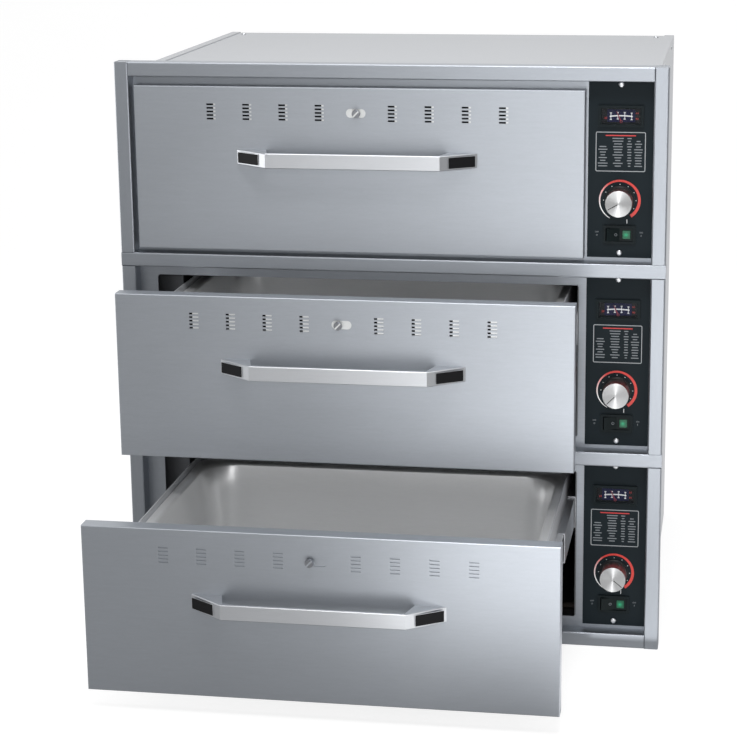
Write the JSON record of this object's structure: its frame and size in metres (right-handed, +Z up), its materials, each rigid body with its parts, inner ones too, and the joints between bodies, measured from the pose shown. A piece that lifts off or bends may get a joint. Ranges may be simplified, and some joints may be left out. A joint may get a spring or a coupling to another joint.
{
  "type": "drawer warming cabinet",
  "caption": "Stainless warming cabinet with stacked pull-out pan drawers, slotted vents with sliding dampers, strap handles and a side column of dial controls.",
  "frame": {"origin": "on the underside of the base panel, midway across, 300 mm behind the front plane of the trim frame", "axes": "+X to the right as seen from the front, -Y out of the front towards the user, +Z up"},
  "size_m": [0.749, 0.932, 0.807],
  "materials": {
    "stainless": "satin",
    "inner_steel": "satin",
    "element": "satin",
    "slide_steel": "satin",
    "screw_steel": "satin",
    "knob_metal": "satin",
    "black_panel": "satin",
    "black_plastic": "matte",
    "thermostat_body": "matte",
    "rocker_plastic": "gloss",
    "needle_red": "satin",
    "clear_glass": "clear"
  },
  "bodies": {
    "cabinet": {"trim_stiles_left": "stainless", "trim_stiles_right": "stainless", "trim_top_rail": "stainless", "trim_middle_rails": "stainless", "trim_bottom_rail": "stainless", "face_plate": "stainless", "left_side_panel": "stainless", "right_side_panel": "stainless", "top_panel": "stainless", "back_panel": "stainless", "base_panel": "inner_steel", "drawer_decks": "inner_steel", "control_bay_wall": "inner_steel", "slide_brackets": "inner_steel", "heating_elements": "element", "cabinet_screws": "screw_steel", "panel_screws": "screw_steel", "cord_gland": "black_plastic", "gauge_glasses": "clear_glass", "thermostats": "thermostat_body", "control_panel_bottom": "black_panel", "gauge_case_bottom": "black_plastic", "switch_bezel_bottom": "black_plastic", "slide_channels_bottom": "slide_steel", "control_panel_middle": "black_panel", "gauge_case_middle": "black_plastic", "switch_bezel_middle": "black_plastic", "slide_channels_middle": "slide_steel", "control_panel_top": "black_panel", "gauge_case_top": "black_plastic", "switch_bezel_top": "black_plastic", "slide_channels_top": "slide_steel"},
    "drawer_bottom": {"drawer_front_bottom": "stainless", "drawer_carrier_bottom": "stainless", "food_pan_bottom": "stainless", "drawer_handle_bottom": "stainless"},
    "slide_runners_bottom": {"slide_runners_bottom": "slide_steel"},
    "vent_damper_bottom": {"vent_damper_bottom": "stainless"},
    "thermostat_knob_bottom": {"thermostat_knob_bottom": "knob_metal"},
    "switch_rocker_bottom": {"switch_rocker_bottom": "rocker_plastic"},
    "gauge_needle_bottom": {"gauge_needle_bottom": "needle_red"},
    "drawer_middle": {"drawer_front_middle": "stainless", "drawer_carrier_middle": "stainless", "food_pan_middle": "stainless", "drawer_handle_middle": "stainless"},
    "slide_runners_middle": {"slide_runners_middle": "slide_steel"},
    "vent_damper_middle": {"vent_damper_middle": "stainless"},
    "thermostat_knob_middle": {"thermostat_knob_middle": "knob_metal"},
    "switch_rocker_middle": {"switch_rocker_middle": "rocker_plastic"},
    "gauge_needle_middle": {"gauge_needle_middle": "needle_red"},
    "drawer_top": {"drawer_front_top": "stainless", "drawer_carrier_top": "stainless", "food_pan_top": "stainless", "drawer_handle_top": "stainless"},
    "slide_runners_top": {"slide_runners_top": "slide_steel"},
    "vent_damper_top": {"vent_damper_top": "stainless"},
    "thermostat_knob_top": {"thermostat_knob_top": "knob_metal"},
    "switch_rocker_top": {"switch_rocker_top": "rocker_plastic"},
    "gauge_needle_top": {"gauge_needle_top": "needle_red"}
  },
  "joints": [
    {"name": "drawer_slide_bottom", "type": "slide", "parent": "cabinet", "child": "drawer_bottom", "axis": [0, -1, 0], "range_m": [-0.3, 0.1]},
    {"name": "slide_runner_bottom", "type": "slide", "parent": "cabinet", "child": "slide_runners_bottom", "axis": [0, -1, 0], "range_m": [-0.15, 0.05]},
    {"name": "vent_damper_slide_bottom", "type": "slide", "parent": "drawer_bottom", "child": "vent_damper_bottom", "axis": [1, 0, 0], "range_m": [-0.0015, 0.0185]},
    {"name": "thermostat_turn_bottom", "type": "hinge", "parent": "cabinet", "child": "thermostat_knob_bottom", "pos_m": [0.311, -0.2785, 0.1023], "axis": [0, 1, 0], "range_deg": [-285, 0]},
    {"name": "switch_rock_bottom", "type": "hinge", "parent": "cabinet", "child": "switch_rocker_bottom", "pos_m": [0.311, -0.277, 0.056], "axis": [0, 0, 1], "range_deg": [-14, 0]},
    {"name": "gauge_needle_turn_bottom", "type": "hinge", "parent": "cabinet", "child": "gauge_needle_bottom", "pos_m": [0.311, -0.2763, 0.2075], "axis": [0, 1, 0], "range_deg": [-5, 55]},
    {"name": "drawer_slide_middle", "type": "slide", "parent": "cabinet", "child": "drawer_middle", "axis": [0, -1, 0], "range_m": [-0.12, 0.28]},
    {"name": "slide_runner_middle", "type": "slide", "parent": "cabinet", "child": "slide_runners_middle", "axis": [0, -1, 0], "range_m": [-0.06, 0.14]},
    {"name": "vent_damper_slide_middle", "type": "slide", "parent": "drawer_middle", "child": "vent_damper_middle", "axis": [1, 0, 0], "range_m": [-0.0065, 0.0135]},
    {"name": "thermostat_turn_middle", "type": "hinge", "parent": "cabinet", "child": "thermostat_knob_middle", "pos_m": [0.311, -0.2785, 0.3648], "axis": [0, 1, 0], "range_deg": [-20, 265]},
    {"name": "switch_rock_middle", "type": "hinge", "parent": "cabinet", "child": "switch_rocker_middle", "pos_m": [0.311, -0.277, 0.3185], "axis": [0, 0, 1], "range_deg": [-14, 0]},
    {"name": "gauge_needle_turn_middle", "type": "hinge", "parent": "cabinet", "child": "gauge_needle_middle", "pos_m": [0.311, -0.2763, 0.47], "axis": [0, 1, 0], "range_deg": [-5, 55]},
    {"name": "drawer_slide_top", "type": "slide", "parent": "cabinet", "child": "drawer_top", "axis": [0, -1, 0], "range_m": [0, 0.4]},
    {"name": "slide_runner_top", "type": "slide", "parent": "cabinet", "child": "slide_runners_top", "axis": [0, -1, 0], "range_m": [0, 0.2]},
    {"name": "vent_damper_slide_top", "type": "slide", "parent": "drawer_top", "child": "vent_damper_top", "axis": [1, 0, 0], "range_m": [-0.0115, 0.0085]},
    {"name": "thermostat_turn_top", "type": "hinge", "parent": "cabinet", "child": "thermostat_knob_top", "pos_m": [0.311, -0.2785, 0.6273], "axis": [0, 1, 0], "range_deg": [-35, 250]},
    {"name": "switch_rock_top", "type": "hinge", "parent": "cabinet", "child": "switch_rocker_top", "pos_m": [0.311, -0.277, 0.581], "axis": [0, 0, 1], "range_deg": [-14, 0]},
    {"name": "gauge_needle_turn_top", "type": "hinge", "parent": "cabinet", "child": "gauge_needle_top", "pos_m": [0.311, -0.2763, 0.7325], "axis": [0, 1, 0], "range_deg": [-5, 55]}
  ],
  "couplings": [
    {"joint": "slide_runner_bottom", "follows": "drawer_slide_bottom", "ratio": 0.5},
    {"joint": "slide_runner_middle", "follows": "drawer_slide_middle", "ratio": 0.5},
    {"joint": "slide_runner_top", "follows": "drawer_slide_top", "ratio": 0.5}
  ]
}
